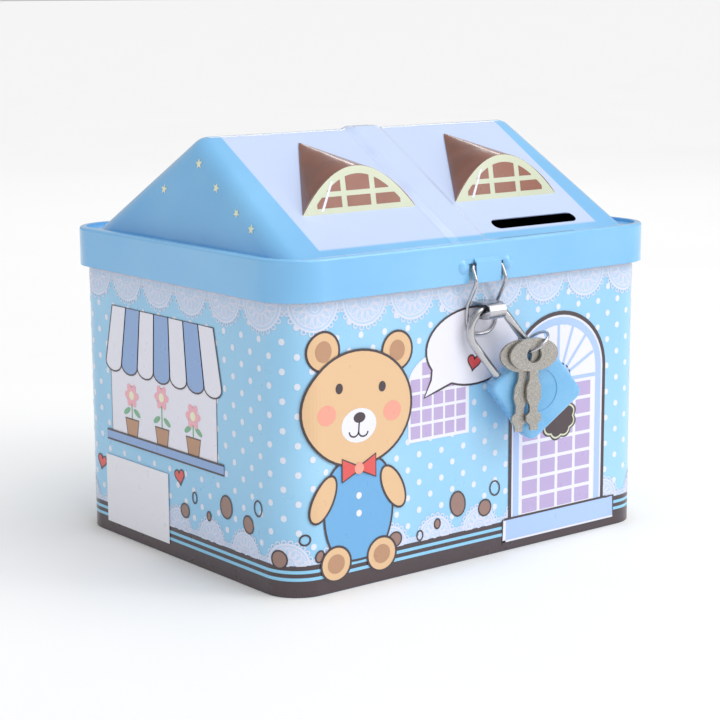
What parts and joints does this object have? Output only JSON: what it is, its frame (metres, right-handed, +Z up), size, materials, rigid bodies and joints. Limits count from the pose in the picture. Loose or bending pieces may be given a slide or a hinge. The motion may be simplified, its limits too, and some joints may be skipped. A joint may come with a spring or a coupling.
{
  "type": "tin money box",
  "caption": "House-shaped tin money box with a hinged roof lid, a coin slot, a wire hasp and a small padlock with keys on a ring.",
  "frame": {"origin": "middle of the base, on the surface the box stands on", "axes": "+Z up; -Y is the front, where the padlock hangs; +X to the right when facing the front"},
  "size_m": [0.13, 0.1173, 0.1127],
  "materials": {
    "body_tin": "printed gloss tinplate",
    "base_tin": "plain lacquered tinplate",
    "lid_tin": "printed gloss tinplate",
    "hinge_steel": "bright plated steel",
    "wire_steel": "bright plated steel",
    "shackle_steel": "polished steel",
    "lock_paint": "gloss enamel",
    "lock_metal": "plain",
    "spring_steel": "plain",
    "key_nickel": "dull nickel plate"
  },
  "bodies": {
    "box": {"body_wall": "body_tin", "base_plate": "base_tin", "lock_staple": "wire_steel", "hinge_body_leaf": "hinge_steel", "hinge_body_rivets": "hinge_steel", "hinge_pin": "hinge_steel"},
    "lid": {"lid_shell": "lid_tin", "hinge_lid_leaf": "hinge_steel", "hinge_lid_rivets": "hinge_steel"},
    "hasp": {"hasp_wire": "wire_steel"},
    "shackle": {"lock_shackle": "shackle_steel"},
    "padlock": {"lock_case_front": "lock_paint", "lock_case_back": "lock_paint", "lock_core": "lock_metal", "lock_spring": "spring_steel", "lock_ward": "lock_metal"},
    "latch": {"lock_latch": "lock_metal"},
    "ring": {"key_ring": "wire_steel"},
    "front_key": {"key_front": "key_nickel"},
    "rear_key": {"key_back": "key_nickel"}
  },
  "joints": [
    {"name": "lid_hinge", "type": "hinge", "parent": "box", "child": "lid", "pos_m": [0, 0.0533, 0.0743], "axis": [-1, 0, 0], "range_deg": [0, 105]},
    {"name": "hasp_swing", "type": "hinge", "parent": "lid", "child": "hasp", "pos_m": [0, -0.05225, 0.0793], "axis": [-1, 0, 0], "range_deg": [0, 52.5]},
    {"name": "padlock_swing", "type": "hinge", "parent": "box", "child": "shackle", "pos_m": [0.0003, -0.0536, 0.0682], "axis": [-0.9703, 0.2419, 0], "range_deg": [0, 60]},
    {"name": "shackle_release", "type": "slide", "parent": "shackle", "child": "padlock", "axis": [0.5974, -0.1489, -0.788], "range_m": [0, 0.005]},
    {"name": "latch_slide", "type": "slide", "parent": "padlock", "child": "latch", "axis": [0.7646, -0.1906, 0.6157], "range_m": [0, 0.0025]},
    {"name": "key_ring_turn", "type": "hinge", "parent": "shackle", "child": "ring", "pos_m": [0.0111, -0.05629, 0.0577], "axis": [-0.5974, 0.1489, 0.788], "range_deg": [0, 15]},
    {"name": "front_key_swing", "type": "hinge", "parent": "ring", "child": "front_key", "pos_m": [0.00856, -0.0605, 0.05657], "axis": [-0.2419, -0.9703, 0], "range_deg": [-20, 2]},
    {"name": "rear_key_swing", "type": "hinge", "parent": "ring", "child": "rear_key", "pos_m": [0.00831, -0.0592, 0.05613], "axis": [-0.2419, -0.9703, 0], "range_deg": [-20, 20]}
  ],
  "couplings": [
    {"joint": "hasp_swing", "follows": "lid_hinge", "ratio": 0.5},
    {"joint": "latch_slide", "follows": "shackle_release", "ratio": 0.5}
  ]
}
